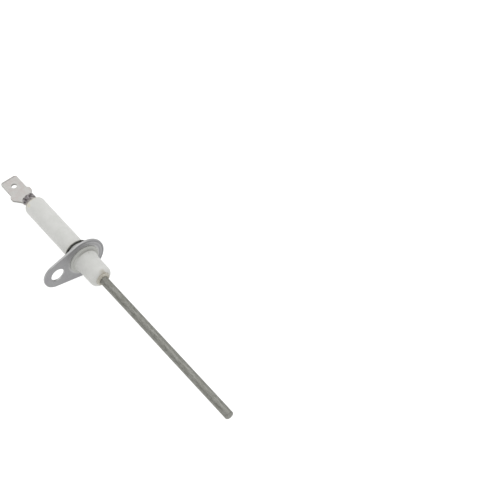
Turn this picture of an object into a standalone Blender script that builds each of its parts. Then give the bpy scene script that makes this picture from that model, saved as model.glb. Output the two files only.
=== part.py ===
"""Flame sensor probe of a gas burner: a sensing rod through a ceramic insulator, with a
quick-connect terminal on one end and a one-screw mounting flange round the middle.

Frame: the origin is on the probe's axis, in the flange face that looks along the rod. +X runs to
the tip of the rod, the flange's ear points along -Y, and the terminal tab lies flat, facing +Z.
All sizes are in metres.
"""

import math

import bmesh
import bpy
from mathutils import Vector

MM = 0.001

# What touches in the real probe keeps this gap here.
GAP = 0.25 * MM

# Sensing rod. The reach is from the flange's face to the tip.
ROD_DIAMETER = 3.0 * MM
ROD_REACH = 79.2 * MM
ROD_TIP_ROUND = 0.45 * MM
ROD_STUB = 0.7 * MM

# Ceramic insulator.
UPPER_DIAMETER = 7.3 * MM
UPPER_LENGTH = 30.6 * MM
UPPER_END_ROUND = 1.05 * MM
LOWER_DIAMETER = 7.8 * MM
LOWER_LENGTH = 10.9 * MM
LOWER_END_ROUND = 1.6 * MM
COLLAR_DIAMETER = 11.1 * MM
COLLAR_THICKNESS = 0.5 * MM
COLLAR_ROUND = 0.2 * MM
COLLAR_ROOT_RISE = 0.5 * MM
COLLAR_ROOT_LENGTH = 2.2 * MM

# Cement recesses at the two ends of the bore.
CEMENT_WALL = 0.6 * MM
CEMENT_CROWN = 0.25 * MM
ROD_CEMENT_DEPTH = 2.2 * MM
TERMINAL_CEMENT_DEPTH = 1.4 * MM

# Mounting flange.
FLANGE_THICKNESS = 0.8 * MM
FLANGE_RADIUS = 7.9 * MM
EAR_DISTANCE = 10.4 * MM
EAR_RADIUS = 5.2 * MM
SCREW_HOLE_DIAMETER = 5.0 * MM
STAMPED_EDGE = 0.15 * MM
NECK_LENGTH = 3.15 * MM
NECK_WALL = 0.5 * MM
NECK_BEND = 0.6 * MM

# Retaining ring.
RING_WALL = 0.6 * MM
RING_THICKNESS = 0.4 * MM
RING_SPLIT = 1.2 * MM
RING_SPLIT_ANGLE = 250.0
RING_EDGE = 0.12 * MM

# Terminal: the tab's own sizes are those of a 6.3 series (1/4 inch) male tab.
TAB_WIDTH = 6.35 * MM
TAB_THICKNESS = 0.8 * MM
TAB_LENGTH = 7.2 * MM
TAB_CHAMFER = 0.7 * MM
TAB_HOLE_DIAMETER = 2.0 * MM
TAB_HOLE_FROM_TIP = 4.1 * MM
TAB_DROP = 0.4 * MM
SHOULDER_WIDTH = 7.9 * MM
SHOULDER_FLAT = 1.4 * MM
SHOULDER_TAPER = 2.8 * MM
TROUGH_WIDTH = 3.5 * MM
TROUGH_LENGTH = 2.0 * MM
CRIMP_LENGTH = 3.0 * MM
CRIMP_SEAM = 0.3 * MM
CRIMP_OVERLAP = 0.8 * MM

# How finely the round shapes are cut into flat faces.
TURN_STEPS = 48
ARC_STEPS = 5
SHEET_COLUMNS = 10

# Sizes that follow from the ones above.
ROD_RADIUS = ROD_DIAMETER / 2
BORE_RADIUS = ROD_RADIUS + GAP
CEMENT_OUTER = BORE_RADIUS + CEMENT_WALL
RECESS_RADIUS = CEMENT_OUTER + GAP
UPPER_RADIUS = UPPER_DIAMETER / 2
LOWER_RADIUS = LOWER_DIAMETER / 2
COLLAR_RADIUS = COLLAR_DIAMETER / 2
FLANGE_BACK = -FLANGE_THICKNESS
FLANGE_BORE = UPPER_RADIUS + GAP
NECK_OUTER = FLANGE_BORE + NECK_WALL
NECK_END = FLANGE_BACK - NECK_LENGTH
RING_FRONT = NECK_END - GAP
RING_BACK = RING_FRONT - RING_THICKNESS
CRIMP_START = -UPPER_LENGTH - GAP
CRIMP_END = CRIMP_START - CRIMP_LENGTH
CRIMP_INNER = ROD_RADIUS + GAP
CRIMP_OUTER = CRIMP_INNER + TAB_THICKNESS
SHEET_BEND_RADIUS = CRIMP_INNER + TAB_THICKNESS / 2
TROUGH_END = CRIMP_END - TROUGH_LENGTH
SHOULDER_BACK = TROUGH_END - SHOULDER_TAPER
SHOULDER_STEP = (SHOULDER_WIDTH - TAB_WIDTH) / 2
TAB_ROOT = SHOULDER_BACK - SHOULDER_FLAT - SHOULDER_STEP
TAB_TIP = TAB_ROOT - TAB_LENGTH


def clear_scene():
    """Leave nothing of the start-up scene."""
    for thing in list(bpy.data.objects):
        bpy.data.objects.remove(thing, do_unlink=True)


def make_material(name, colour, roughness, metallic):
    """A plain Principled material."""
    material = bpy.data.materials.new(name)
    material.use_nodes = True
    shader = material.node_tree.nodes["Principled BSDF"]
    shader.inputs["Base Color"].default_value = (*colour, 1.0)
    shader.inputs["Roughness"].default_value = roughness
    shader.inputs["Metallic"].default_value = metallic
    material.diffuse_color = (*colour, 1.0)
    return material


def make_object(name, shape, material=None):
    """Turn a bmesh into an object with clean outward faces, smooth except at its corners."""
    bmesh.ops.remove_doubles(shape, verts=shape.verts, dist=0.0001 * MM)
    bmesh.ops.recalc_face_normals(shape, faces=shape.faces)
    mesh = bpy.data.meshes.new(name)
    shape.to_mesh(mesh)
    shape.free()
    mesh.shade_smooth()
    mesh.set_sharp_from_angle(angle=math.radians(35))
    thing = bpy.data.objects.new(name, mesh)
    bpy.context.collection.objects.link(thing)
    if material:
        mesh.materials.append(material)
    return thing


def make_cutter(name, shape):
    """A helper solid for a Boolean, which is not a piece of the probe."""
    cutter = make_object(name, shape)
    cutter.hide_render = True
    cutter.display_type = "WIRE"
    return cutter


def combine(thing, other, operation):
    """Join another solid to an object, or cut it away, with an exact Boolean."""
    boolean = thing.modifiers.new(other.name, "BOOLEAN")
    boolean.operation = operation
    boolean.solver = "EXACT"
    boolean.object = other


def arc(x, radius, size, start, end):
    """Points on a circle of this size round (x, radius), from one angle to another in degrees."""
    points = []
    for step in range(ARC_STEPS + 1):
        angle = math.radians(start + (end - start) * step / ARC_STEPS)
        points.append((x + size * math.cos(angle), radius + size * math.sin(angle)))
    return points


def turned(profile, closed=True):
    """Turn an outline of (x, radius) points round the X axis.

    A closed outline gives a ring. An open one starts and ends on the axis and gives a solid.
    """
    shape = bmesh.new()
    verts = [shape.verts.new((x, 0, radius)) for x, radius in profile]
    edges = [shape.edges.new(pair) for pair in zip(verts, verts[1:])]
    if closed:
        edges.append(shape.edges.new((verts[-1], verts[0])))
    bmesh.ops.spin(
        shape,
        geom=verts + edges,
        cent=(0, 0, 0),
        axis=(1, 0, 0),
        angle=2 * math.pi,
        steps=TURN_STEPS,
        use_merge=True,
    )
    return shape


def make_rod(material):
    """The sensing rod: rounded at the tip, cut square inside the terminal."""
    tip_centre = ROD_REACH - ROD_TIP_ROUND
    profile = [(CRIMP_END - ROD_STUB, 0.0), (CRIMP_END - ROD_STUB, ROD_RADIUS)]
    profile += arc(tip_centre, ROD_RADIUS - ROD_TIP_ROUND, ROD_TIP_ROUND, 90, 0)
    profile.append((ROD_REACH, 0.0))
    return make_object("electrode_rod", turned(profile, closed=False), material)


def end_turn(radius, rounding):
    """How far round an end's rounding meets the recess, in degrees; 0 where a flat lies between."""
    return math.degrees(math.asin(max(0.0, RECESS_RADIUS - radius + rounding) / rounding))


def make_insulator(material):
    """The ceramic body: two barrels, the collar between them and a bore with two recesses."""
    terminal_turn = end_turn(UPPER_RADIUS, UPPER_END_ROUND)
    rod_turn = end_turn(LOWER_RADIUS, LOWER_END_ROUND)
    collar_back = GAP
    collar_front = GAP + COLLAR_THICKNESS
    root_round = (COLLAR_ROOT_LENGTH ** 2 + COLLAR_ROOT_RISE ** 2) / (2 * COLLAR_ROOT_RISE)
    root_turn = math.degrees(math.asin(COLLAR_ROOT_LENGTH / root_round))
    rod_recess = LOWER_LENGTH - ROD_CEMENT_DEPTH
    terminal_recess = TERMINAL_CEMENT_DEPTH - UPPER_LENGTH

    terminal_end = arc(UPPER_END_ROUND - UPPER_LENGTH, UPPER_RADIUS - UPPER_END_ROUND,
                       UPPER_END_ROUND, 180 - terminal_turn, 90)
    rod_end = arc(LOWER_LENGTH - LOWER_END_ROUND, LOWER_RADIUS - LOWER_END_ROUND,
                  LOWER_END_ROUND, 90, rod_turn)
    profile = [(terminal_recess, BORE_RADIUS), (terminal_recess, RECESS_RADIUS)]
    profile += [(terminal_end[0][0], RECESS_RADIUS), *terminal_end]
    profile.append((collar_back, UPPER_RADIUS))
    profile += arc(collar_back + COLLAR_ROUND, COLLAR_RADIUS - COLLAR_ROUND, COLLAR_ROUND, 180, 90)
    profile += arc(collar_front - COLLAR_ROUND, COLLAR_RADIUS - COLLAR_ROUND, COLLAR_ROUND, 90, 0)
    profile += arc(collar_front + COLLAR_ROOT_LENGTH, LOWER_RADIUS + root_round,
                   root_round, 270 - root_turn, 270)
    profile += [*rod_end, (rod_end[-1][0], RECESS_RADIUS)]
    profile += [(rod_recess, RECESS_RADIUS), (rod_recess, BORE_RADIUS)]
    return make_object("ceramic_insulator", turned(profile), material)


def make_cement(name, inner_end, outer_end, material):
    """A cement ring between two stations, with a low crown on its open end."""
    crown = math.copysign(CEMENT_CROWN, outer_end - inner_end)
    middle = (BORE_RADIUS + CEMENT_OUTER) / 2
    profile = [
        (inner_end, BORE_RADIUS),
        (outer_end, BORE_RADIUS),
        (outer_end + crown, middle),
        (outer_end, CEMENT_OUTER),
        (inner_end, CEMENT_OUTER),
    ]
    return make_object(name, turned(profile), material)


def flange_outline():
    """The teardrop: a large circle round the axis, a small one round the screw, and tangents."""
    lean = math.acos((FLANGE_RADIUS - EAR_RADIUS) / EAR_DISTANCE)
    points = []
    for centre, radius, start, end, steps in (
        (0.0, FLANGE_RADIUS, lean, 2 * math.pi - lean, TURN_STEPS),
        (-EAR_DISTANCE, EAR_RADIUS, -lean, lean, TURN_STEPS // 2),
    ):
        for step in range(steps + 1):
            angle = start + (end - start) * step / steps
            points.append((centre - radius * math.cos(angle), radius * math.sin(angle)))
    return points


def make_flange(material):
    """The stamped flange: a flat plate with rounded edges, a drawn neck and a screw hole."""
    plate = bmesh.new()
    front = plate.faces.new([plate.verts.new((0, y, z)) for y, z in flange_outline()])
    pushed = bmesh.ops.extrude_face_region(plate, geom=[front])["geom"]
    moved = [part for part in pushed if isinstance(part, bmesh.types.BMVert)]
    bmesh.ops.translate(plate, verts=moved, vec=(FLANGE_BACK, 0, 0))
    rims = [edge for edge in plate.edges if abs(edge.verts[0].co.x - edge.verts[1].co.x) < GAP]
    bmesh.ops.bevel(plate, geom=rims, offset=STAMPED_EDGE, segments=2, profile=0.5,
                    affect="EDGES")
    flange = make_object("mounting_flange", plate, material)

    inside = FLANGE_BACK / 2
    neck = [(inside, 0.0), (NECK_END, 0.0), (NECK_END, NECK_OUTER)]
    neck += arc(FLANGE_BACK - NECK_BEND, NECK_OUTER + NECK_BEND, NECK_BEND, 270, 360)
    neck += [(inside, NECK_OUTER + NECK_BEND), (inside, 0.0)]
    combine(flange, make_cutter("neck_form", turned(neck, closed=False)), "UNION")

    bore = [(NECK_END - GAP, 0.0), (NECK_END - GAP, FLANGE_BORE)]
    bore += arc(-NECK_BEND, FLANGE_BORE + NECK_BEND, NECK_BEND, 270, 360)
    bore += [(GAP, FLANGE_BORE + NECK_BEND), (GAP, 0.0)]
    combine(flange, make_cutter("bore_form", turned(bore, closed=False)), "DIFFERENCE")

    hole = bmesh.new()
    bmesh.ops.create_cone(hole, cap_ends=True, segments=TURN_STEPS, depth=3 * FLANGE_THICKNESS,
                          radius1=SCREW_HOLE_DIAMETER / 2, radius2=SCREW_HOLE_DIAMETER / 2)
    bmesh.ops.rotate(hole, verts=hole.verts, cent=(0, 0, 0),
                     matrix=Vector((0, 0, 1)).rotation_difference(Vector((1, 0, 0))).to_matrix())
    bmesh.ops.translate(hole, verts=hole.verts, vec=(inside, -EAR_DISTANCE, 0))
    combine(flange, make_cutter("screw_hole_form", hole), "DIFFERENCE")
    return flange


def make_ring(material):
    """The retaining ring: a flat section with eased edges, spun most of the way round."""
    inner = UPPER_RADIUS + GAP
    outer = inner + RING_WALL
    section = []
    for x, radius, start in (
        (RING_FRONT - RING_EDGE, outer - RING_EDGE, 0),
        (RING_BACK + RING_EDGE, outer - RING_EDGE, 90),
        (RING_BACK + RING_EDGE, inner + RING_EDGE, 180),
        (RING_FRONT - RING_EDGE, inner + RING_EDGE, 270),
    ):
        for turn in (0, 45, 90):
            angle = math.radians(start + turn)
            section.append((x + RING_EDGE * math.cos(angle), radius + RING_EDGE * math.sin(angle)))
    shape = bmesh.new()
    split = RING_SPLIT / outer
    start = math.radians(RING_SPLIT_ANGLE) + split / 2
    verts = []
    for x, radius in section:
        verts.append(shape.verts.new((x, radius * math.cos(start), radius * math.sin(start))))
    first = shape.faces.new(verts)
    bmesh.ops.spin(shape, geom=[first, *first.edges, *first.verts], cent=(0, 0, 0),
                   axis=(1, 0, 0), angle=2 * math.pi - split, steps=TURN_STEPS)
    return make_object("retaining_ring", shape, material)


def strip_section(station, width, bend, depth, thickness):
    """One cross section of bent sheet: its mid-line has this width and sits `depth` below the axis.

    `bend` is the mid-line's curvature. The points run across the upper face, then back below.
    """
    points = []
    for side in (1, -1):
        for column in range(SHEET_COLUMNS + 1):
            along = side * width * (column / SHEET_COLUMNS - 0.5)
            turn = along * bend
            offset = side * thickness / 2
            if bend:
                y = math.sin(turn) / bend - offset * math.sin(turn)
                rise = (1 - math.cos(turn)) / bend + offset * math.cos(turn)
            else:
                y = along
                rise = offset
            points.append(Vector((station, y, rise - depth)))
    return points


def make_terminal(material):
    """The terminal, from its chamfered tip through shoulders and neck to the barrel on the rod."""
    low = SHEET_BEND_RADIUS + TAB_DROP
    thin = TAB_THICKNESS - GAP / 2
    tight = 1 / SHEET_BEND_RADIUS
    trough_middle = (TROUGH_END + CRIMP_END) / 2
    stations = [
        (TAB_TIP, TAB_WIDTH - 2 * TAB_CHAMFER, 0.0, low, TAB_THICKNESS),
        (TAB_TIP + TAB_CHAMFER, TAB_WIDTH, 0.0, low, TAB_THICKNESS),
        (TAB_ROOT, TAB_WIDTH, 0.0, low, TAB_THICKNESS),
        (TAB_ROOT + SHOULDER_STEP, SHOULDER_WIDTH, 0.0, low, TAB_THICKNESS),
        (SHOULDER_BACK, SHOULDER_WIDTH, 0.0, low, TAB_THICKNESS),
        (TROUGH_END, TROUGH_WIDTH, 0.0, low, TAB_THICKNESS),
        (trough_middle, TROUGH_WIDTH, tight / 2, low - TAB_DROP / 2, TAB_THICKNESS),
        (CRIMP_END, TROUGH_WIDTH, tight, SHEET_BEND_RADIUS, thin),
        (CRIMP_END + CRIMP_OVERLAP, TROUGH_WIDTH, tight, SHEET_BEND_RADIUS, thin),
    ]
    shape = bmesh.new()
    rows = [[shape.verts.new(point) for point in strip_section(*station)] for station in stations]
    count = len(rows[0])
    for row, following in zip(rows, rows[1:]):
        for i in range(count):
            j = (i + 1) % count
            shape.faces.new((row[i], row[j], following[j], following[i]))
    shape.faces.new(rows[0])
    shape.faces.new(rows[-1])
    terminal = make_object("terminal_tab", shape, material)

    hole = bmesh.new()
    bmesh.ops.create_cone(hole, cap_ends=True, segments=TURN_STEPS // 2, depth=3 * TAB_THICKNESS,
                          radius1=TAB_HOLE_DIAMETER / 2, radius2=TAB_HOLE_DIAMETER / 2)
    bmesh.ops.translate(hole, verts=hole.verts, vec=(TAB_TIP + TAB_HOLE_FROM_TIP, 0, -low))
    combine(terminal, make_cutter("tab_hole_form", hole), "DIFFERENCE")

    combine(terminal, make_cutter("crimp_form", crimp_barrel()), "UNION")
    return terminal


def crimp_barrel():
    """The rolled barrel: a tube whose two edges meet in a narrow seam on top."""
    shape = bmesh.new()
    half_seam = CRIMP_SEAM / 2 / SHEET_BEND_RADIUS
    start = math.pi / 2 + half_seam
    turn = 2 * math.pi - 2 * half_seam
    outline = []
    for radius, first, last in ((CRIMP_OUTER, 0, 1), (CRIMP_INNER, 1, 0)):
        for step in range(TURN_STEPS + 1):
            angle = start + turn * (first + (last - first) * step / TURN_STEPS)
            outline.append((radius * math.cos(angle), radius * math.sin(angle)))
    end = shape.faces.new([shape.verts.new((CRIMP_START, y, z)) for y, z in outline])
    pushed = bmesh.ops.extrude_face_region(shape, geom=[end])["geom"]
    moved = [part for part in pushed if isinstance(part, bmesh.types.BMVert)]
    bmesh.ops.translate(shape, verts=moved, vec=(CRIMP_END - CRIMP_START, 0, 0))
    return shape


def main():
    clear_scene()
    alloy = make_material("resistance_alloy", (0.27, 0.27, 0.24), 0.5, 1.0)
    ceramic = make_material("fired_ceramic", (0.62, 0.62, 0.59), 0.6, 0.0)
    cement = make_material("refractory_cement", (0.42, 0.38, 0.28), 0.9, 0.0)
    flange_steel = make_material("flange_steel", (0.30, 0.30, 0.31), 0.45, 1.0)
    spring_steel = make_material("black_spring_steel", (0.03, 0.03, 0.03), 0.5, 1.0)
    terminal_metal = make_material("plated_terminal", (0.60, 0.57, 0.54), 0.35, 1.0)

    make_rod(alloy)
    make_insulator(ceramic)
    make_cement("rod_cement", LOWER_LENGTH - ROD_CEMENT_DEPTH + GAP,
                LOWER_LENGTH - CEMENT_CROWN, cement)
    make_cement("terminal_cement", TERMINAL_CEMENT_DEPTH - UPPER_LENGTH - GAP,
                CEMENT_CROWN - UPPER_LENGTH, cement)
    make_flange(flange_steel)
    make_ring(spring_steel)
    make_terminal(terminal_metal)


main()
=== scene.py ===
# %% [markdown]
# # A flame sensor probe, dressed piece by piece
# A gas burner proves its flame with this probe: a bare metal rod stands in the flame, and a tiny
# current through the flame reaches the terminal at the other end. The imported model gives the
# sizes, and each piece here is a finer copy of one of its solids, in the same place.
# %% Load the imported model
import math

import bmesh
import bpy
from mathutils import Matrix, Vector


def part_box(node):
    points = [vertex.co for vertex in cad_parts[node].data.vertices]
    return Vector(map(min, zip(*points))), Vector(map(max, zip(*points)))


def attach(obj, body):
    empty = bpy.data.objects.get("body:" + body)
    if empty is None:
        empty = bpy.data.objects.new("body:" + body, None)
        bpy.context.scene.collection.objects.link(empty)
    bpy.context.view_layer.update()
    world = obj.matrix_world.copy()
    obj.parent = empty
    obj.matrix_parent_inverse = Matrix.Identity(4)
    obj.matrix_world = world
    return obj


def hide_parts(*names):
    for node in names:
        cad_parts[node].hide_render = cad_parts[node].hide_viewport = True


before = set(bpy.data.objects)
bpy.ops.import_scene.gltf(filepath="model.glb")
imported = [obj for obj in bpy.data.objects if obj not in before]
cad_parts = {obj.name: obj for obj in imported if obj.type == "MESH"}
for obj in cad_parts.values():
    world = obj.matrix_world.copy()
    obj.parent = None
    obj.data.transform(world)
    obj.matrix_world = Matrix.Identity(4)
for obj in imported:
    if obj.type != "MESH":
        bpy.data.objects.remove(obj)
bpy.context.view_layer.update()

MM = 0.001
print("nodes:", ", ".join(sorted(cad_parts)))

# %% [markdown]
# ## The sizes that everything shares
# The rod, the ceramic, the flange and the terminal sit on one axis, +X, and each size that a box
# can give is read from the model, so a change there carries through to the looks. Radii that no
# box shows, such as those of the two barrels, are written down once.
# %% Read the sizes
rod_low, rod_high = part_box("electrode_rod")
body_low, body_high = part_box("ceramic_insulator")
flange_low, flange_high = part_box("mounting_flange")
ring_low, ring_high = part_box("retaining_ring")
tab_low, tab_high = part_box("terminal_tab")

rod_radius = rod_high.z
collar_radius = body_high.z
plate_radius = flange_high.z
upper_radius = 3.65 * MM
lower_radius = 3.90 * MM
ear_distance = 10.4 * MM
ear_radius = 5.2 * MM
plate_thickness = 0.8 * MM
print("rod %.2f mm, collar %.2f mm" % (2 * rod_radius / MM, 2 * collar_radius / MM))

# %% [markdown]
# ## Tools of the hand
# Each piece starts as a primitive that is pushed into shape in edit mode. An operator acts on
# whatever is selected, so these helpers first drop every selection, then pick points, edges or
# faces by where they are or which way they face.
# %% Selecting and opening a piece
def open_piece(name):
    """Name the primitive just added, fix its place into its mesh and open it in edit mode."""
    piece = bpy.context.object
    piece.name = name
    piece.data.name = name
    bpy.ops.object.transform_apply(location=True, rotation=True, scale=True)
    bpy.ops.object.mode_set(mode="EDIT")
    return piece


def pick(piece, kind, test):
    """Select only the points, edges or faces that pass a test, and say how many there are."""
    bpy.ops.mesh.select_mode(type=kind)
    bpy.ops.mesh.select_all(action="DESELECT")
    shape = bmesh.from_edit_mesh(piece.data)
    parts = {"VERT": shape.verts, "EDGE": shape.edges, "FACE": shape.faces}[kind]
    chosen = [part for part in parts if test(part)]
    for part in chosen:
        part.select_set(True)
    shape.select_flush_mode()
    bmesh.update_edit_mesh(piece.data)
    return len(chosen)


def near(place, reach=0.02 * MM):
    """A test for points at a place."""
    return lambda point: (point.co - Vector(place)).length < reach

# %% [markdown]
# ## Finishing and cutting a piece
# Spins and Booleans leave doubled points and faces that may look inwards, so every piece goes
# through one closing step. Modifiers are set and applied in one go, because the next step of the
# work needs their result as plain mesh.
# %% Closing a piece and changing it by modifiers
def close_piece(piece, angle=35):
    """Merge doubles, turn every face outwards, go back to object mode and shade it smooth."""
    bpy.ops.mesh.select_all(action="SELECT")
    bpy.ops.mesh.remove_doubles(threshold=0.002 * MM)
    bpy.ops.mesh.normals_make_consistent(inside=False)
    bpy.ops.object.mode_set(mode="OBJECT")
    bpy.ops.object.shade_smooth_by_angle(angle=math.radians(angle))
    size = piece.dimensions / MM
    print("%s: %.1f x %.1f x %.1f mm, %d faces" % (piece.name, *size, len(piece.data.polygons)))
    return piece


def use(piece):
    """Make one piece the only selected one, and the active one."""
    bpy.ops.object.select_all(action="DESELECT")
    piece.select_set(True)
    bpy.context.view_layer.objects.active = piece


def apply_modifier(piece, kind, **settings):
    """Add a modifier, set it and apply it at once."""
    use(piece)
    modifier = piece.modifiers.new(kind.title(), kind)
    for key, value in settings.items():
        setattr(modifier, key, value)
    bpy.ops.object.modifier_apply(modifier=modifier.name)


def carve(piece, tool, operation="DIFFERENCE"):
    """Cut a tool's shape away from a piece, or weld it on, and throw the tool away."""
    apply_modifier(piece, "BOOLEAN", operation=operation, solver="EXACT", object=tool)
    bpy.data.objects.remove(tool, do_unlink=True)

# %% [markdown]
# ## Turning on a lathe
# The ceramic, the rod and the flange's neck are all round about the axis. A cylinder primitive
# could be cut into rings and scaled, but a drawn outline is closer to how such a part is
# designed: one point is extruded from corner to corner, its corners are rounded with a bevel,
# and a spin turns it once round the axis.
# %% Draw an outline and spin it
TURN_STEPS = 96


def draw(name, corners, closed=True):
    """Extrude one point along (x, radius, rounding) corners, in millimetres, then round them."""
    places = [Vector((x * MM, 0, radius * MM)) for x, radius, rounding in corners]
    bpy.ops.object.select_all(action="DESELECT")
    bpy.ops.mesh.primitive_plane_add(size=MM, location=places[0])
    piece = open_piece(name)
    bpy.ops.mesh.merge(type="CENTER")
    for start, end in zip(places, places[1:]):
        bpy.ops.mesh.extrude_region_move(TRANSFORM_OT_translate={"value": end - start})
    if closed:
        first, last = near(places[0]), near(places[-1])
        pick(piece, "VERT", lambda point: first(point) or last(point))
        bpy.ops.mesh.edge_face_add()
    for place, (x, radius, rounding) in zip(places, corners):
        if rounding:
            pick(piece, "VERT", near(place))
            bpy.ops.mesh.bevel(offset=rounding * MM, segments=6, affect="VERTICES")
    return piece


def lathe(name, corners, closed=True, angle=35):
    """A drawn outline turned once round the X axis."""
    piece = draw(name, corners, closed)
    bpy.ops.mesh.select_all(action="SELECT")
    bpy.ops.mesh.spin(steps=TURN_STEPS, angle=2 * math.pi, center=(0, 0, 0), axis=(1, 0, 0))
    return close_piece(piece, angle)

# %% [markdown]
# ## The ceramic insulator
# It is pressed from powder and fired: a long upper barrel, a collar that stands on the flange,
# and a short lower barrel with a soft nose. Pressed ceramic has no sharp corner, so every corner
# of the outline that shows gets a rounding, and the collar runs into the lower barrel by a taper.
# The bore widens at both ends into a recess for the cement. All of it is one outline, because a
# Boolean of separate cylinders would leave hard seams where they meet.
# %% Turn the ceramic
bore = rod_radius / MM + 0.1
recess = 2.5
nose_recess = 2.3
terminal_recess_depth = 1.4
nose_recess_depth = 2.2
upper = upper_radius / MM
lower = lower_radius / MM
collar = collar_radius / MM
terminal_end = body_low.x / MM
nose = body_high.x / MM
collar_front = 0.75
root_rise = 0.5
root_end = collar_front + 2.6
ceramic = lathe("ceramic_body", [
    (terminal_end + terminal_recess_depth, bore, 0),
    (terminal_end + terminal_recess_depth, recess, 0),
    (terminal_end, recess, 0.1),
    (terminal_end, upper, 1.0),
    (0.0, upper, 0.1),
    (0.0, collar, 0.15),
    (collar_front - 0.05, collar - 0.1, 0.35),
    (collar_front, lower + root_rise, 0.15),
    (root_end, lower, 1.0),
    (nose, lower, 1.6),
    (nose, nose_recess, 0.2),
    (nose - nose_recess_depth, nose_recess, 0),
    (nose - nose_recess_depth, bore, 0),
])

# %% [markdown]
# ## The sensing rod
# A straight length of heat-proof alloy wire, with a rounded shoulder at the tip and a plain cut at
# the end that hides in the terminal. A cylinder with two bevels would do, but the lathe gives both
# ends in one outline, each with its own rounding.
# %% Turn the rod
rod_radius_mm = rod_radius / MM
tip = rod_high.x / MM
stub = rod_low.x / MM
rod = lathe("sensing_rod", [
    (stub, 0.0, 0),
    (stub, rod_radius_mm, 0.15),
    (tip, rod_radius_mm, 0.45),
    (tip, 0.0, 0),
], closed=False)

# %% [markdown]
# ## The mounting flange
# A press blanks it from sheet steel, punches the screw hole, and draws a short neck backwards out
# of the middle. The teardrop outline could be drawn point by point, but two discs and a convex
# hull give it at once, straight sides included.
# %% Hull two discs into the plate
quarter = math.radians(90)


def disc(radius, depth, off_axis, steps):
    """Add a disc that faces along X, half way through the plate's thickness."""
    bpy.ops.mesh.primitive_cylinder_add(
        vertices=steps, radius=radius, depth=depth,
        location=(-plate_thickness / 2, off_axis, 0), rotation=(0, quarter, 0))


bpy.ops.object.select_all(action="DESELECT")
disc(plate_radius, plate_thickness, 0, 128)
plate = open_piece("flange_plate")
disc(ear_radius, plate_thickness, -ear_distance, 128)
bpy.ops.mesh.select_all(action="SELECT")
bpy.ops.mesh.convex_hull()
bpy.ops.mesh.dissolve_limited(angle_limit=math.radians(0.5))
close_piece(plate)

# %% [markdown]
# ## The screw hole and the stamped rims
# The hole could be drawn into the outline, but a Boolean with a cylinder cuts it as a punch does,
# and leaves clean rims. Those are found by their angle and bevelled, because stamped sheet has no
# razor edges, and a small bevel is what catches the light.
# %% Punch the screw hole and ease the stamped rims
screw_hole_radius = 2.5 * MM
bpy.ops.object.select_all(action="DESELECT")
disc(screw_hole_radius, 3 * plate_thickness, -ear_distance, 96)
punch = open_piece("punch")
bpy.ops.object.mode_set(mode="OBJECT")
carve(plate, punch)
use(plate)
bpy.ops.object.mode_set(mode="EDIT")


def on_a_rim(edge):
    """Edges that lie in the plate's front or back face and border its wall."""
    flat = abs(edge.verts[0].co.x - edge.verts[1].co.x) < 0.01 * MM
    return flat and len(edge.link_faces) == 2 and edge.calc_face_angle() > 1.0


rims = pick(plate, "EDGE", on_a_rim)
bpy.ops.mesh.bevel(offset=0.14 * MM, segments=3, affect="EDGES")
close_piece(plate)
print("eased", rims, "rim edges")

# %% [markdown]
# ## The drawn neck and the press marks
# On the real flange the neck is the same sheet, drawn out by a punch. Here it is turned on the
# lathe and welded on with a Boolean, which is simpler than pulling faces out of a flat plate, and
# the bore is cut by a tool whose mouth is rounded as the drawn sheet is. The press die stood a
# little out of square, so its two shallow grooves are deep on one side and fade out at the ear.
# %% Weld on the drawn neck and open the bore
neck_end = ring_high.x / MM
sheet = plate_thickness / MM
neck_radius = 4.4
neck_foot = 5.2
neck_bore = 3.68
tool_length = 1.0
mouth_radius = 5.0
neck = lathe("neck", [
    (-0.3, 0.0, 0),
    (-0.3, neck_foot, 0),
    (-sheet - 0.02, neck_foot, 0),
    (-sheet - 0.02, neck_radius, 0.55),
    (neck_end, neck_radius, 0.12),
    (neck_end, 0.0, 0),
], closed=False)
carve(plate, neck, "UNION")
bore_tool = lathe("bore_tool", [
    (neck_end - tool_length, 0.0, 0),
    (neck_end - tool_length, neck_bore, 0),
    (0.0, neck_bore, 0.6),
    (0.0, mouth_radius, 0),
    (tool_length, mouth_radius, 0),
    (tool_length, 0.0, 0),
], closed=False)
carve(plate, bore_tool)

# %% Press two shallow grooves round the collar
press_lean = math.radians(0.5)
groove_depth = 0.03
groove_slope = 0.08
for inner, outer in ((6.0, 6.5), (7.2, 7.5)):
    groove = lathe("groove_tool", [
        (-groove_depth, inner + groove_slope, 0),
        (-groove_depth, outer - groove_slope, 0),
        (0.5, outer, 0),
        (0.5, inner, 0),
    ])
    groove.data.transform(Matrix.Rotation(press_lean, 4, "Z"))
    carve(plate, groove)
apply_modifier(plate, "WEIGHTED_NORMAL", keep_sharp=True, weight=80)
print("flange:", len(plate.data.polygons), "faces")

# %% [markdown]
# ## The retaining ring
# A split ring of black spring steel is pushed over the upper barrel behind the neck and keeps the
# ceramic from sliding out. A full ring with a wedge cut out would need a Boolean. Instead its flat
# section is drawn as a closed outline, filled, and spun a little less than a full turn, so its two
# ends stay apart and are closed by the section itself.
# %% Spin the split ring
ring_back = ring_low.x / MM
ring_front = ring_high.x / MM
ring_outer = ring_high.y / MM
ring_inner = 3.66
split_angle = math.radians(14)
split_turn = math.radians(200)
ring = draw("snap_ring", [
    (ring_back, ring_inner, 0.1),
    (ring_back, ring_outer, 0.08),
    (ring_front, ring_outer, 0.08),
    (ring_front, ring_inner, 0.1),
])
bpy.ops.mesh.select_all(action="SELECT")
bpy.ops.mesh.edge_face_add()
bpy.ops.mesh.select_all(action="SELECT")
bpy.ops.mesh.spin(steps=TURN_STEPS, angle=2 * math.pi - split_angle,
                  center=(0, 0, 0), axis=(1, 0, 0))
close_piece(ring)
ring.data.transform(Matrix.Rotation(split_turn, 4, "X"))

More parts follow.
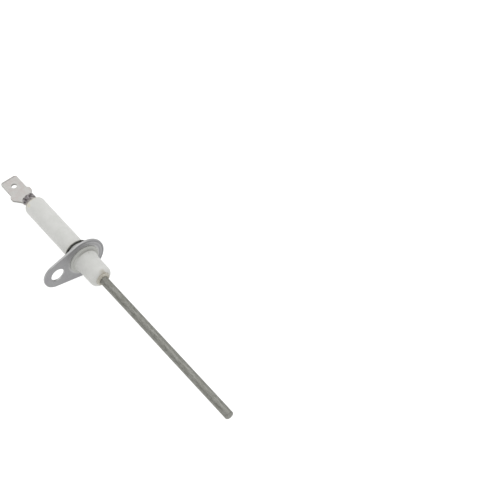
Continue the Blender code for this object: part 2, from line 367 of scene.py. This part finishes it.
# %% [markdown]
# ## The terminal
# One strip of plated sheet makes the flat tab, its shoulders, the narrow neck and the barrel that
# is rolled round the rod. By hand it would be a grid, scaled row by row and then bent, but a bend
# needs a window, and its curve has to tighten smoothly from flat to a full roll. So the grid is
# added as a primitive and each row is laid on its own arc by formula, as a press tool lays it.
# The two edges of the barrel curl in and press on the rod, as in a crimp.
# %% How wide the strip is along its length
tab_tip = tab_low.x / MM
barrel_end = tab_high.x / MM
barrel_start = barrel_end - 3.0
strip_thickness = 0.8
barrel_middle = 1.93
seam = 0.24
tip_half = 2.5
tab_half = 3.175
shoulder_half = 3.95
throat_half = 1.75
barrel_half = math.pi * barrel_middle - seam / 2
half_widths = [
    (tab_tip, tip_half),
    (tab_tip + 0.65, tab_half),
    (tab_tip + 7.2, tab_half),
    (tab_tip + 7.975, shoulder_half),
    (barrel_start - 4.8, shoulder_half),
    (barrel_start - 2.0, throat_half),
    (barrel_start - 0.01, throat_half),
    (barrel_start + 0.01, barrel_half),
    (barrel_end + 1.0, barrel_half),
]
print("tab %.2f mm wide, shoulders %.2f mm" % (2 * tab_half, 2 * shoulder_half))

# %% Read a width off the outline
def between(stops, x):
    """Read a value off a line through (x, value) stops."""
    for (x0, v0), (x1, v1) in zip(stops, stops[1:]):
        if x <= x1:
            return v0 + (v1 - v0) * max(0.0, x - x0) / (x1 - x0)
    return stops[-1][1]


def ease(start, end, x):
    """0 before start, 1 after end, and a smooth rise between."""
    t = min(1.0, max(0.0, (x - start) / (end - start)))
    return t * t * (3 - 2 * t)


def half_width(x):
    """The strip's outline, its corners softened as a punch leaves them."""
    if x > barrel_start - 0.3:
        return between(half_widths, x)
    spread = [between(half_widths, x + 0.07 * step) for step in (-2, -1, 0, 1, 2)]
    return sum(spread) / len(spread)

# %% [markdown]
# ## Crimp and weld marks
# The jaws flatten the barrel a little and two welding tips leave a dimple each, with a raised lip.
# Sculpting them needs a brush and a screen, and a bump would not change the outline, so each is a
# small hill or hollow, by formula, that moves the strip's own points in or out.
# %% How low the tab is and how the barrel is pressed
tab_level = -2.55
roll_begins = barrel_start - 1.3
curl_depth = 0.22
jaw_depth = 0.10
dimple_size = 0.42
dimple_depth = 0.26
lip_height = 0.12
weld_dimples = [
    (barrel_start + 0.1, math.radians(-144)),
    (barrel_start + 1.6, math.radians(146)),
]
print("barrel from x = %.1f to %.1f mm" % (barrel_start, barrel_end))

# %% Lay the grid on its arcs
ROWS = 158
COLUMNS = 40
bpy.ops.object.select_all(action="DESELECT")
bpy.ops.mesh.primitive_grid_add(x_subdivisions=ROWS, y_subdivisions=COLUMNS, size=1)
terminal = open_piece("terminal_strip")
bpy.ops.object.mode_set(mode="OBJECT")
length = barrel_end - tab_tip
for point in terminal.data.vertices:
    x = tab_tip + (point.co.x + 0.5) * length
    along = 2 * point.co.y * half_width(x)
    rolled = ease(roll_begins, barrel_start - 0.05, x)
    level = tab_level + (-barrel_middle - tab_level) * rolled
    y, z = along, level
    if rolled > 0:
        bend = rolled / barrel_middle
        turn = along * bend
        # The last part of the roll on each side curls in towards the rod.
        curl = curl_depth * ease(2.45, 3.1, abs(turn))
        # The crimping jaws leave the middle of the barrel a little flatter.
        jaw = jaw_depth * math.exp(-((x - barrel_start - 1.4) / 0.6) ** 2)
        jaw *= ease(0.8, 1.6, abs(turn))
        # Two welding tips have left a dimple each, with a raised lip round it.
        dimples = 0.0
        for dimple_x, dimple_turn in weld_dimples:
            away = math.hypot(x - dimple_x, (turn - dimple_turn) * barrel_middle) / dimple_size
            dimples += dimple_depth * math.exp(-away ** 2)
            dimples -= lip_height * math.exp(-(away - 1.7) ** 2 * 3)
        reach = 1 / bend - curl - jaw - dimples * rolled
        y = reach * math.sin(turn)
        z = level + 1 / bend - reach * math.cos(turn)
    point.co = Vector((x, y, z)) * MM
apply_modifier(terminal, "SOLIDIFY", thickness=strip_thickness * MM, offset=0,
               use_even_offset=True)
apply_modifier(terminal, "BEVEL", width=0.07 * MM, segments=2, limit_method="ANGLE",
               angle_limit=math.radians(50))
print("terminal:", len(terminal.data.polygons), "faces")

# %% [markdown]
# ## The tab's locking hole and its tapered tip
# A spring dimple in the female receptacle snaps into the hole. The punch rounds its mouth, so
# instead of a plain cylinder the cutting tool is a spindle that flares at both faces. The tip is
# coined thinner, which helps it into the receptacle: its points just move towards the mid plane.
# %% Cut the hole and coin the tip
hole_radius = 1.0
hole_place = Vector((tab_tip + 4.1, 0, tab_level)) * MM
half_sheet = strip_thickness / 2
flare = 0.6
spindle = lathe("spindle", [
    (-half_sheet - flare, 0.0, 0),
    (-half_sheet - flare, hole_radius + flare, 0),
    (-half_sheet, hole_radius, 0.08),
    (half_sheet, hole_radius, 0.08),
    (half_sheet + flare, hole_radius + flare, 0),
    (half_sheet + flare, 0.0, 0),
], closed=False)
spindle.data.transform(Matrix.Rotation(quarter, 4, "Y"))
spindle.data.transform(Matrix.Translation(hole_place))
carve(terminal, spindle)
coined = 0.62
for point in terminal.data.vertices:
    thin = coined + (1 - coined) * ease(tab_tip, tab_tip + 0.75, point.co.x / MM)
    if thin < 1:
        point.co.z = tab_level * MM + (point.co.z - tab_level * MM) * thin
use(terminal)
bpy.ops.object.mode_set(mode="EDIT")
close_piece(terminal, 40)
apply_modifier(terminal, "WEIGHTED_NORMAL", keep_sharp=True, weight=60)

# %% [markdown]
# ## The cement
# A ring of refractory cement seals the rod into the nose, and another one seals it at the
# terminal end, where a little has squeezed out beside the barrel. Cement is dabbed on by hand,
# so each ring is a torus pressed flat, with lumps from a procedural cloud. At the nose it runs out
# along the rod as a small fillet, so its points stop at the rod's skin.
# %% Dab on the cement
def dab(name, place, major, minor, flat, lump, seed):
    """A lumpy ring round the rod: radius of its middle line and its section, then its flatness."""
    bpy.ops.object.select_all(action="DESELECT")
    bpy.ops.mesh.primitive_torus_add(
        major_segments=96, minor_segments=24, major_radius=major * MM, minor_radius=minor * MM,
        rotation=(0, quarter, 0))
    piece = open_piece(name)
    bpy.ops.transform.resize(value=(flat, 1, 1))
    bpy.ops.transform.translate(value=Vector(place) * MM)
    close_piece(piece, 180)
    cloud = bpy.data.textures.new(name, "CLOUDS")
    cloud.noise_scale = 0.9 * MM
    cloud.noise_depth = 3
    guide = bpy.data.objects.new(name + "_guide", None)
    guide.location = Vector((seed, seed, seed)) * MM
    bpy.context.collection.objects.link(guide)
    apply_modifier(piece, "DISPLACE", texture=cloud, texture_coords="OBJECT",
                   texture_coords_object=guide, strength=lump * MM, mid_level=0.5)
    bpy.data.objects.remove(guide, do_unlink=True)
    return piece


nose_cement = dab("nose_cement", (nose - 0.1, 0, 0), 1.6, 0.85, 0.95, 0.4, 3.0)
rod_skin = rod_radius + 0.01 * MM
for point in nose_cement.data.vertices:
    from_axis = math.hypot(point.co.y, point.co.z)
    if from_axis < rod_skin:
        point.co.y *= rod_skin / from_axis
        point.co.z *= rod_skin / from_axis

# %% Squeeze a little cement out beside the barrel
bead_place = (terminal_end + 0.1, 0, 0)
squeezed_towards = Vector((-0.85, 0.52))
spread = 0.22
slump = 0.12 * MM
terminal_cement = dab("terminal_cement_bead", bead_place, 2.1, 0.55, 0.75, 0.4, 11.0)
for point in terminal_cement.data.vertices:
    side = Vector((point.co.y, point.co.z)).normalized()
    squeezed = ease(0.55, 1.0, side.dot(squeezed_towards))
    point.co.y *= 1 + spread * squeezed
    point.co.z *= 1 + spread * squeezed
    point.co.x -= slump * squeezed
print("cement bead reaches x = %.2f mm" % (min(p.co.x for p in terminal_cement.data.vertices) / MM))

# %% [markdown]
# ## Writing shader maths as sums
# Every finish below is worked out from the place on the piece, in millimetres. Joining Math nodes
# by hand makes long code, so a small class wraps a socket and lets ordinary sums add the nodes.
# %% A socket that can be added up
class Wire:
    """The output of a node. Sums on it add Math nodes to the same finish."""

    def __init__(self, finish, socket):
        self.finish = finish
        self.socket = socket

    def maths(self, operation, other=0.0, flipped=False):
        """Add one Math node on this wire and another wire or number."""
        pair = (other, self) if flipped else (self, other)
        return self.finish.add("ShaderNodeMath", {"operation": operation},
                               {0: pair[0], 1: pair[1]})

    def __add__(self, other):
        return self.maths("ADD", other)

    def __radd__(self, other):
        return self.maths("ADD", other)

    def __sub__(self, other):
        return self.maths("SUBTRACT", other)

    def __rsub__(self, other):
        return self.maths("SUBTRACT", other, flipped=True)

    def __mul__(self, other):
        return self.maths("MULTIPLY", other)

    def __rmul__(self, other):
        return self.maths("MULTIPLY", other)

    def __pow__(self, other):
        return self.maths("POWER", other)

# %% A finish and its one way to add a node
class BareFinish:
    """A material in the making, with the place on the piece, in millimetres, to hand."""

    def __init__(self, name, colour, **uniform):
        self.material = bpy.data.materials.new(name)
        self.material.use_nodes = True
        self.material.diffuse_color = (*colour, 1.0)
        self.tree = self.material.node_tree
        self.shader = self.tree.nodes["Principled BSDF"]
        self.shader.inputs["Base Color"].default_value = (*colour, 1.0)
        for key, value in uniform.items():
            self.shader.inputs[key.replace("_", " ")].default_value = value
        place = self.add("ShaderNodeTexCoord", {}, {}, "Object")
        self.place = self.add("ShaderNodeVectorMath", {"operation": "SCALE"},
                              {0: place, "Scale": 1 / MM})
        self.x, self.y, self.z = (
            self.add("ShaderNodeSeparateXYZ", {}, {0: self.place}, axis) for axis in "XYZ")
        self.radius = (self.y * self.y + self.z * self.z) ** 0.5
        normal = self.add("ShaderNodeTexCoord", {}, {}, "Normal")
        self.facing = {}
        for axis in "XYZ":
            part = self.add("ShaderNodeSeparateXYZ", {}, {0: normal}, axis)
            self.facing[axis] = part.maths("ABSOLUTE")

    def add(self, kind, settings, sockets, output=0):
        """Add a node: its settings first, then a value or a link for each socket."""
        made = self.tree.nodes.new(kind)
        for key, value in settings.items():
            setattr(made, key, value)
        for key, value in sockets.items():
            if isinstance(value, Wire):
                self.tree.links.new(value.socket, made.inputs[key])
            else:
                made.inputs[key].default_value = value
        return Wire(self, made.outputs[output])

    def feed(self, name, wire):
        """Join a wire to one of the shader's own sockets."""
        self.tree.links.new(wire.socket, self.shader.inputs[name])

# %% [markdown]
# ## Patterns and masks
# Noise and scattered spots make the grain and the dirt, and a step, a fall or a line turns a
# distance into a mask with soft edges. Each could be a node group, but short methods read better
# in a script and can be given other wires. Mapping nodes shift the noises, so no two look alike.
# %% Patterns, masks and relief for a finish
class Finish(BareFinish):
    """A bare finish with patterns, masks, mixes and relief to draw on it."""

    def noise(self, scale, stretch=(1, 1, 1), detail=3.0, rough=0.55, shift=(0, 0, 0)):
        """Cloudy noise from 0 to 1, with this many blobs to a millimetre."""
        where = self.add("ShaderNodeMapping", {}, {0: self.place, "Scale": stretch,
                                                   "Location": shift})
        return self.add("ShaderNodeTexNoise", {},
                        {"Vector": where, "Scale": scale, "Detail": detail, "Roughness": rough})

    def spots(self, scale, stretch=(1, 1, 1), shift=(0, 0, 0)):
        """How far the nearest of many scattered points is."""
        where = self.add("ShaderNodeMapping", {}, {0: self.place, "Scale": stretch,
                                                   "Location": shift})
        return self.add("ShaderNodeTexVoronoi", {}, {"Vector": where, "Scale": scale}, "Distance")

    def mark(self, place, inner, outer):
        """1 near a place on the piece, fading to 0 between two distances from it."""
        away = [(axis - at) * (axis - at) for axis, at in zip((self.x, self.y, self.z), place)]
        return self.fall((away[0] + away[1] + away[2]) ** 0.5, inner, outer)

    def step(self, value, low, high, start=0.0, end=1.0):
        """A smooth step from start to end, as value goes from low to high."""
        return self.add("ShaderNodeMapRange", {"interpolation_type": "SMOOTHSTEP"},
                        {0: value, 1: low, 2: high, 3: start, 4: end})

    def fall(self, value, low, high):
        """A smooth step down, from 1 at low to 0 at high."""
        return self.step(value, low, high, 1.0, 0.0)

    def line(self, value, middle, inner, outer):
        """1 where value is near its middle, fading to 0 between two distances from it."""
        return self.fall((value - middle).maths("ABSOLUTE"), inner, outer)

    def mix(self, factor, first, second):
        """Blend two colours."""
        def four(colour):
            return colour if isinstance(colour, Wire) else (*colour, 1.0)
        return self.add("ShaderNodeMix", {"data_type": "RGBA"},
                        {0: factor, 6: four(first), 7: four(second)}, 2)

    def relief(self, height, depth, under=None):
        """Feed a height from 0 to 1 to the surface as a bump this many millimetres deep."""
        sockets = {"Height": height, "Distance": depth * MM, "Strength": 1.0}
        if under is not None:
            sockets["Normal"] = under
        return self.add("ShaderNodeBump", {}, sockets)

# %% [markdown]
# ## Fired ceramic
# Unglazed and off-white, with a satin skin from the tumbler. Up close it is faintly mottled and
# grainy, holds a few iron specks and pits, and carries grey rub marks where steel has slid along
# it. One noise would give clouds of one size, but fired clay shows several at once, so a wide, a
# fine and a spotted pattern are laid over each other.
# %% Mix the ceramic
fired = Finish("fired_ceramic_skin", (0.58, 0.582, 0.56), Roughness=0.5, IOR=1.5)
mottle = fired.noise(0.35, detail=4.0)
grain = fired.noise(9.0, detail=2.0)
specks = fired.fall(fired.spots(1.1, shift=(3, 1, 2)), 0.05, 0.11)
speck_field = fired.step(fired.noise(0.6, shift=(9, 4, 1)), 0.55, 0.65)
colour = fired.mix(fired.step(mottle, 0.3, 0.7), (0.560, 0.563, 0.540), (0.600, 0.600, 0.580))
colour = fired.mix(specks * speck_field * 0.45, colour, (0.20, 0.17, 0.13))
rub_lines = fired.noise(1.0, stretch=(0.25, 2.4, 2.4), detail=5.0, shift=(2, 7, 5))
slid_over = fired.step(fired.x, ring_back - 4.4, ring_back + 0.2)
slid_over = slid_over * fired.fall(fired.x, ring_back + 0.3, ring_back + 0.6)
rubs = fired.step(rub_lines, 0.56, 0.72) * (0.05 + 0.25 * slid_over)
colour = fired.mix(rubs, colour, (0.25, 0.26, 0.25))

# %% [markdown]
# ## Stains and painted shade on the ceramic
# Painted shade greys the collar and draws a thin dark line in the corner between collar and
# barrel on its upper side. Dirt yellows the skin behind the ring and by the terminal, where cement
# was smeared as well. Smoke has browned the nose. Painting would need an image, so each mark is a
# mask worked out from where a point lies, and noise breaks up the edges that are ragged.
# %% Paint shade on the collar and its corner, and stain the ring's seat
ring_tint = fired.step(fired.x, ring_back - 1.8, ring_back + 0.3)
ring_tint = ring_tint * fired.fall(fired.x, ring_back + 0.3, ring_back + 0.5)
colour = fired.mix(ring_tint * 0.35, colour, (0.44, 0.43, 0.33))
# Painted shade: the collar's face is greyed where it lies in shade beside the barrel and flange.
collar_painted_shade = fired.step(fired.radius, lower + 0.1, lower + 0.8)
collar_painted_shade = collar_painted_shade * fired.fall(fired.x, collar_front + 0.25, collar_front + 1.45)
colour = fired.mix(collar_painted_shade * 0.8, colour, (0.385, 0.39, 0.365))
# Painted shade: a thin dark line in the corner between collar and barrel, on the upper side only.
corner_painted_shade = fired.line(fired.radius, lower + root_rise - 0.02, 0.03, 0.16)
corner_painted_shade = corner_painted_shade * fired.step(fired.x, collar_front - 0.25, collar_front - 0.05)
corner_painted_shade = corner_painted_shade * fired.fall(fired.x, collar_front + 0.25, collar_front + 0.65)
corner_painted_shade = corner_painted_shade * fired.step(fired.y * 0.5 + fired.z * 0.86, 1.2, 3.4)
colour = fired.mix(corner_painted_shade * 0.65, colour, (0.20, 0.195, 0.175))
chips = fired.mark((1.74, 1.23, 3.86), 0.12, 0.5) + fired.mark((0.8, 2.4, 3.3), 0.12, 0.5)
colour = fired.mix(chips * fired.step(grain, 0.35, 0.6) * 0.6, colour, (0.24, 0.23, 0.20))
print("collar dirt:", len(fired.tree.nodes), "nodes so far")

# %% Smoke the nose and yellow the terminal end
stain_noise = fired.noise(0.9, detail=5.0, rough=0.6, shift=(1, 3, 8))
nose_ring = fired.step(fired.x, nose - 1.1, nose - 0.1)
nose_ring = nose_ring * fired.fall(fired.radius, nose_recess, nose_recess + 1.0)
upper_side = fired.step(fired.z + fired.y * 0.3, -0.4, 1.8)
stain = fired.step(stain_noise + nose_ring * 0.45, 0.66, 0.98) * nose_ring * upper_side
colour = fired.mix(stain * 0.75, colour, (0.30, 0.235, 0.15))
smoked = fired.mark((nose - 0.1, 0.5, 2.9), 0.3, 1.7) * fired.step(stain_noise, 0.3, 0.6)
colour = fired.mix(smoked * 0.6, colour, (0.33, 0.30, 0.22))
end_ring = fired.fall(fired.x, terminal_end + 0.2, terminal_end + 1.6)
yellow = fired.step(stain_noise + end_ring * 0.35, 0.55, 0.9) * end_ring
colour = fired.mix(yellow * 0.45, colour, (0.47, 0.43, 0.29))
cement_smear = fired.mark((terminal_end + 1.5, -2.45, 2.7), 0.2, 0.9)
colour = fired.mix(cement_smear * 0.5, colour, (0.62, 0.57, 0.38))

# %% Give the ceramic its skin
fired.feed("Base Color", colour)
fired.feed("Roughness", 0.44 + 0.16 * mottle + 0.1 * grain)
pits = fired.step(fired.spots(0.8, shift=(5, 5, 1)), 0.03, 0.10)
skin = fired.relief(mottle, 0.05)
skin = fired.relief(grain, 0.006, skin)
fired.feed("Normal", fired.relief(pits, 0.03, skin))
print("ceramic:", len(fired.tree.nodes), "nodes")

# %% [markdown]
# ## Drawn alloy
# The wire is pulled through a die, which leaves fine streaks along it, and heat has given it a dull
# grey skin with dark and light specks, and with smuts next to the ceramic. Anisotropic gloss could
# hint at the streaks, but on a dull rod they have to be seen, so noise is stretched along X.
# %% Mix the alloy
alloy = Finish("drawn_alloy", (0.26, 0.26, 0.238), Metallic=1.0, Roughness=0.5)
streaks = alloy.noise(3.0, stretch=(0.16, 1.0, 1.0), detail=5.0, rough=0.7)
speckle = alloy.noise(4.2, stretch=(0.7, 1.0, 1.0), detail=4.0, rough=0.7, shift=(4, 2, 9))
patches = alloy.noise(0.16, stretch=(1.0, 1.6, 1.6), detail=4.0, shift=(7, 1, 3))
colour = alloy.mix(alloy.step(streaks, 0.34, 0.66), (0.180, 0.181, 0.160), (0.350, 0.350, 0.327))
colour = alloy.mix(alloy.step(speckle, 0.55, 0.68) * 0.8, colour, (0.125, 0.125, 0.110))
colour = alloy.mix(alloy.fall(speckle, 0.31, 0.43) * 0.65, colour, (0.46, 0.46, 0.43))
colour = alloy.mix(alloy.step(patches, 0.42, 0.7) * 0.35, colour, (0.29, 0.285, 0.255))
sooty = alloy.fall(alloy.x + patches * 3.0, nose + 0.4, nose + 4.2)
smuts = alloy.step(alloy.noise(1.3, detail=5.0, rough=0.7, shift=(2, 8, 5)), 0.42, 0.58)
colour = alloy.mix(sooty * (0.15 + 0.6 * smuts), colour, (0.13, 0.122, 0.10))
alloy.feed("Base Color", colour)
alloy.feed("Roughness", 0.42 + 0.20 * streaks + 0.12 * patches)
skin = alloy.relief(streaks, 0.03)
alloy.feed("Normal", alloy.relief(speckle, 0.03, skin))
print("alloy:", len(alloy.tree.nodes), "nodes")

# %% [markdown]
# ## Stamped flange steel
# Cold-rolled sheet, dull plated. The rolls leave a faint one-way grain, handling leaves fine
# scratches and cloudy patches. The sheared edges and the drawn neck are lighter: the edges are a
# little brighter bare metal, and edges and neck both carry a painted highlight. The mask for those
# reads which way a face points, so no face has to be picked by hand.
# %% Mix the flange steel
steel = Finish("stamped_steel", (0.34, 0.34, 0.345), Metallic=1.0, Roughness=0.45)
rolled_grain = steel.noise(3.0, stretch=(1.0, 0.12, 1.6), detail=5.0, rough=0.6)
clouds = steel.noise(0.28, detail=4.0, shift=(3, 8, 2))
scratches = steel.noise(2.6, stretch=(1.0, 1.9, 0.10), detail=2.0, shift=(6, 2, 7))
wall = steel.fall(steel.facing["X"], 0.35, 0.75)
colour = steel.mix(steel.step(rolled_grain, 0.3, 0.7), (0.300, 0.303, 0.308), (0.360, 0.360, 0.362))
colour = steel.mix(steel.step(clouds, 0.40, 0.68) * 0.5, colour, (0.315, 0.300, 0.322))
colour = steel.mix(steel.step(scratches, 0.64, 0.70) * 0.35, colour, (0.50, 0.50, 0.50))
# Lighter walls and neck: a little brighter sheared metal, and a painted highlight on edges and
# neck.
colour = steel.mix(wall * 0.85, colour, (0.44, 0.442, 0.44))

# %% [markdown]
# ## Wear and painted light on the flange
# The sheet is rubbed bright beside the collar. On the upper side, the ridge between the pressed
# grooves gets a painted highlight and the outer groove a painted shade. The end of the neck is
# darker on its -Y side, and the neck shows a faint line round its middle. All of them are rings
# round the axis, so each is a soft line in the radius or along X.
# %% Wear the flange and paint light on its grooves
wiped = steel.fall(steel.radius, 5.5, 6.5) * (1 - wall)
colour = steel.mix(wiped * 0.7, colour, (0.56, 0.56, 0.555))
# Painted highlight on the ridge and painted shade in the outer groove, on the upper side only.
lit_side = steel.step(steel.y * 0.55 + steel.z * 0.83, -3.0, 3.5) * (1 - wall)
ridge_painted_highlight = steel.line(steel.radius, 6.8, 0.12, 0.38)
colour = steel.mix(ridge_painted_highlight * lit_side * 0.28, colour, (0.50, 0.50, 0.50))
groove_painted_shade = steel.line(steel.radius, 7.35, 0.08, 0.26)
colour = steel.mix(groove_painted_shade * lit_side * 0.22, colour, (0.20, 0.20, 0.205))
neck_line = steel.line(steel.x, neck_end + 1.05, 0.04, 0.16)
colour = steel.mix(neck_line * wall * 0.45, colour, (0.27, 0.27, 0.265))
# Darker towards the end of the neck, on its -Y side.
neck_end_darkening = steel.fall(steel.x, neck_end + 0.05, neck_end + 0.9)
neck_end_darkening = neck_end_darkening * steel.fall(steel.y, -2.6, -0.4)
colour = steel.mix(neck_end_darkening * wall * 0.75, colour, (0.10, 0.10, 0.095))
steel.feed("Base Color", colour)
steel.feed("Roughness", 0.40 + 0.16 * rolled_grain + 0.12 * clouds - 0.06 * wall)
skin = steel.relief(clouds, 0.03)
steel.feed("Normal", steel.relief(rolled_grain, 0.008, skin))
print("flange steel:", len(steel.tree.nodes), "nodes")

# %% [markdown]
# ## Black spring steel
# Oiled black oxide, matt and even, rubbed to bare grey on its corners where it was pushed on. Wear
# could be painted on an attribute, but it only shows at the rim, so the radius is mask enough.
# %% Mix the spring steel
black = Finish("black_oxide", (0.055, 0.055, 0.05), Metallic=0.6, Roughness=0.5)
oxide = black.noise(2.2, detail=4.0)
worn_rim = black.step(black.radius, ring_outer - 0.10, ring_outer - 0.02)
rubbed = black.step(oxide + worn_rim * 0.22, 0.62, 0.78)
colour = black.mix(black.step(oxide, 0.35, 0.7), (0.050, 0.050, 0.046), (0.085, 0.084, 0.076))
colour = black.mix(rubbed * 0.5, colour, (0.22, 0.22, 0.20))
black.feed("Base Color", colour)
black.feed("Roughness", 0.55 - 0.2 * rubbed)
black.feed("Normal", black.relief(oxide, 0.02))
print("spring steel:", len(black.tree.nodes), "nodes")

# %% [markdown]
# ## Plated terminal
# Satin tin plate on brass, with cloudy and faintly pink patches on the tab. The tab's sheared sides
# are darker: partly duller bare metal, partly painted shade along its edges. The clouds could be
# reflections alone, but plating this dull hardly mirrors, so they are mixed into the colour, with a
# fine brushed noise under them.
# %% Mix the plating
plated = Finish("satin_plate", (0.44, 0.43, 0.415), Metallic=1.0, Roughness=0.42)
film = plated.noise(0.55, detail=4.0, shift=(2, 2, 2))
brushed = plated.noise(3.5, stretch=(0.25, 1.6, 1.0), detail=4.0, shift=(8, 1, 4))
colour = plated.mix(plated.step(brushed, 0.3, 0.7), (0.405, 0.398, 0.382), (0.470, 0.463, 0.449))
colour = plated.mix(plated.step(film, 0.44, 0.62) * 0.6, colour, (0.440, 0.400, 0.388))
side = plated.fall(plated.facing["Z"], 0.35, 0.75)
on_tab = plated.fall(plated.x, barrel_start - 1.6, barrel_start - 1.0)
# The tab's sides are darkened: duller sheared metal, and a painted shade along its edges.
colour = plated.mix(side * on_tab * 0.8, colour, (0.27, 0.265, 0.25))

# %% [markdown]
# ## The scorched barrel
# Heat from fixing the barrel has burnt the plating to a mottled purple-grey, with a straw tint at
# its edge and soot spots, and pale spots are painted on as glints. Heat runs along the strip, so
# one mask along X, made ragged with noise, places all of them, and the blotch noise is fed to the
# relief too.
# %% Scorch the barrel
burn_noise = plated.noise(1.1, detail=5.0, rough=0.65, shift=(5, 9, 1))
heat = plated.x + burn_noise * 1.8 - 0.9
burnt = plated.step(heat, barrel_start - 0.9, barrel_start + 0.3)
burnt = burnt * plated.step(heat, barrel_start + 0.9, barrel_start + 2.4, 1.0, 0.45)
straw = plated.step(heat, barrel_start - 1.7, barrel_start - 0.4) * (1 - burnt)
colour = plated.mix(straw * 0.45, colour, (0.36, 0.32, 0.25))
colour = plated.mix(burnt * 0.9, colour, (0.225, 0.205, 0.215))
blotches = plated.noise(1.0, detail=5.0, rough=0.7, shift=(1, 6, 6))
soot = plated.step(blotches, 0.47, 0.60) * burnt
# Painted highlights: pale spots standing in for glints on the burnt barrel.
painted_glints = plated.fall(blotches, 0.33, 0.43) * burnt
colour = plated.mix(soot * 0.85, colour, (0.055, 0.050, 0.050))
colour = plated.mix(painted_glints * 0.8, colour, (0.62, 0.61, 0.60))
plated.feed("Base Color", colour)
plated.feed("Roughness", 0.36 + 0.14 * film - 0.12 * painted_glints + 0.12 * soot + 0.08 * brushed)
skin = plated.relief(film, 0.03)
skin = plated.relief(brushed, 0.006, skin)
plated.feed("Normal", plated.relief(blotches * burnt, 0.30, skin))
print("plating:", len(plated.tree.nodes), "nodes")

# %% [markdown]
# ## Refractory cement
# A dry, sandy paste: buff at the terminal, paler and smoke-marked at the nose. Two finishes could
# do it, but it is one paste, so one finish tells the two ends apart by where they lie along X.
# %% Mix the cement
paste = Finish("refractory_paste", (0.40, 0.36, 0.27), Roughness=0.9)
sand = paste.noise(4.5, detail=5.0, rough=0.7)
smoke = paste.noise(0.8, detail=4.0, shift=(4, 4, 4))
colour = paste.mix(paste.step(sand, 0.3, 0.7), (0.37, 0.345, 0.285), (0.52, 0.50, 0.43))
at_nose = paste.step(paste.x, 0.0, 1.0)
colour = paste.mix(at_nose * 0.8, colour, (0.50, 0.485, 0.43))
colour = paste.mix(at_nose * paste.step(smoke, 0.40, 0.62) * 0.6, colour, (0.31, 0.285, 0.23))
paste.feed("Base Color", colour)
paste.feed("Roughness", 0.82 + 0.15 * sand)
paste.feed("Normal", paste.relief(sand, 0.06))
print("cement:", len(paste.tree.nodes), "nodes")

# %% [markdown]
# ## Put the finishes on and hand the pieces over
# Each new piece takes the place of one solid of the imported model, which stays for physics only.
# Nothing on the probe moves, so all seven ride on the one body.
# %% Dress the pieces
dressed = [
    (ceramic, fired, "ceramic_insulator", "fired_ceramic"),
    (rod, alloy, "electrode_rod", "resistance_alloy"),
    (plate, steel, "mounting_flange", "flange_steel"),
    (ring, black, "retaining_ring", "black_spring_steel"),
    (terminal, plated, "terminal_tab", "plated_terminal"),
    (nose_cement, paste, "rod_cement", "refractory_cement"),
    (terminal_cement, paste, "terminal_cement", "refractory_cement"),
]
for piece, finish, node, slot in dressed:
    piece.data.materials.clear()
    piece.data.materials.append(finish.material)
    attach(piece, "root")
    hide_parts(node)
print("dressed", len(dressed), "pieces")

# %% [markdown]
# ## Floor, light and camera
# A plain floor touches the flange's lowest point, and glows a little so that it stays white under
# the probe. An area lamp could light so small a part, but a sun with a very wide disc, almost
# overhead, is as soft and falls evenly, and the white surroundings fill the shadows. The camera
# looks down on the side of the flange that the rod stands on.
# %% Lay the floor
bpy.ops.object.select_all(action="DESELECT")
bpy.ops.mesh.primitive_plane_add(size=6, location=(0, 0, flange_low.z))
floor = bpy.context.object
floor.name = "floor"
white = Finish("white_floor", (0.3, 0.3, 0.3), Roughness=0.9)
white.shader.inputs["Emission Color"].default_value = (1, 1, 1, 1)
white.shader.inputs["Emission Strength"].default_value = 0.85
floor.data.materials.append(white.material)
print("floor at z = %.2f mm" % (flange_low.z / MM))

# %% Hang the lights
sun = bpy.data.lights.new("key_light", "SUN")
sun.energy = 1.0
sun.angle = math.radians(70)
key = bpy.data.objects.new("key_light", sun)
bpy.context.collection.objects.link(key)
key.rotation_mode = "QUATERNION"
towards_sun = Vector((-0.20, 0.20, 0.95))
key.rotation_quaternion = towards_sun.to_track_quat("Z", "Y")
world = bpy.data.worlds.new("tent")
bpy.context.scene.world = world
world.use_nodes = True
world.node_tree.nodes["Background"].inputs["Color"].default_value = (1, 1, 1, 1)
world.node_tree.nodes["Background"].inputs["Strength"].default_value = 0.80
bpy.context.scene.view_settings.view_transform = "Standard"
print("sun %.0f degrees wide" % math.degrees(sun.angle))

# %% Place the camera
azimuth = math.radians(55.763)
elevation = math.radians(52.380)
roll = math.radians(4.984)
aim = Vector((36.388, 41.875, 5.397)) * MM
distance = 491.51 * MM
across = math.cos(elevation)
back = Vector((math.sin(azimuth) * across, -math.cos(azimuth) * across, math.sin(elevation)))
camera = bpy.data.objects.new("camera", bpy.data.cameras.new("camera"))
bpy.context.collection.objects.link(camera)
camera.data.lens = 108.45
camera.data.sensor_width = 36
camera.location = aim + back * distance
camera.rotation_mode = "QUATERNION"
upright = (-back).to_track_quat("-Z", "Y")
camera.rotation_quaternion = upright @ Matrix.Rotation(-roll, 4, "Z").to_quaternion()
bpy.context.scene.camera = camera
print("camera %.0f mm away" % (distance / MM))
